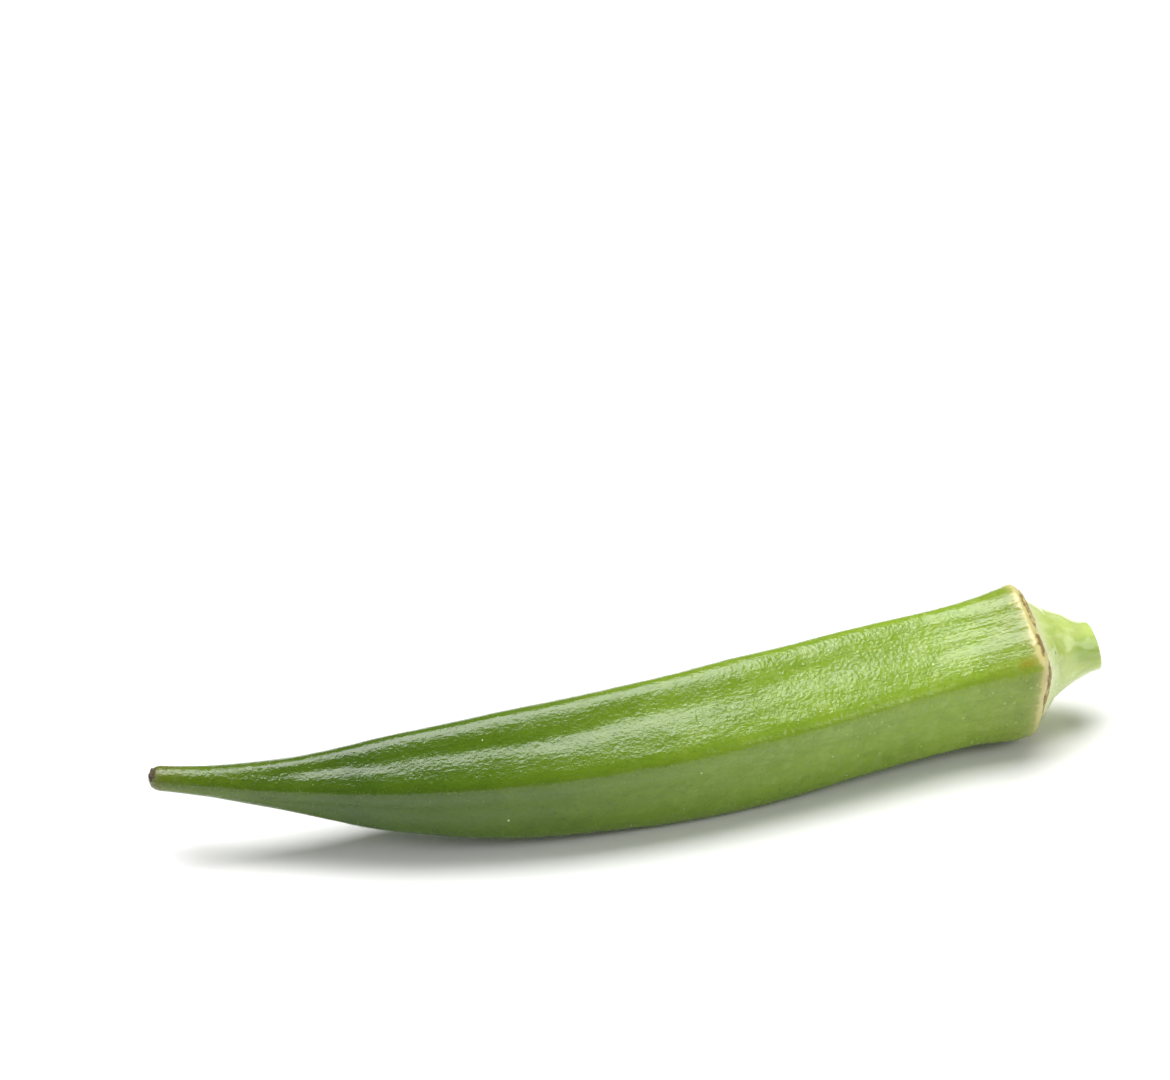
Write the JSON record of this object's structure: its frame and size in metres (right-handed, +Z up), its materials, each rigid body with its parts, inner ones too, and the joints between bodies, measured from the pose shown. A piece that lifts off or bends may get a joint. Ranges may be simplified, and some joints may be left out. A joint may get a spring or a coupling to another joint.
{
  "type": "okra pod",
  "caption": "A whole green okra pod lying on its side: a ribbed, gently bowed seed pod with a blunt tip, a corky ring scar, and a short cut stem",
  "frame": {"origin": "on the surface that the pod lies on, under the middle of its bounding box", "axes": "X runs from the pod's tip to the cut end of the stem, +Y is the side away from the pod's bow, +Z is up"},
  "size_m": [0.1146, 0.0228, 0.0183],
  "materials": {
    "pod_skin": "satin",
    "stem_skin": "satin"
  },
  "bodies": {
    "root": {"pod": "pod_skin", "stem": "stem_skin"}
  },
  "joints": []
}
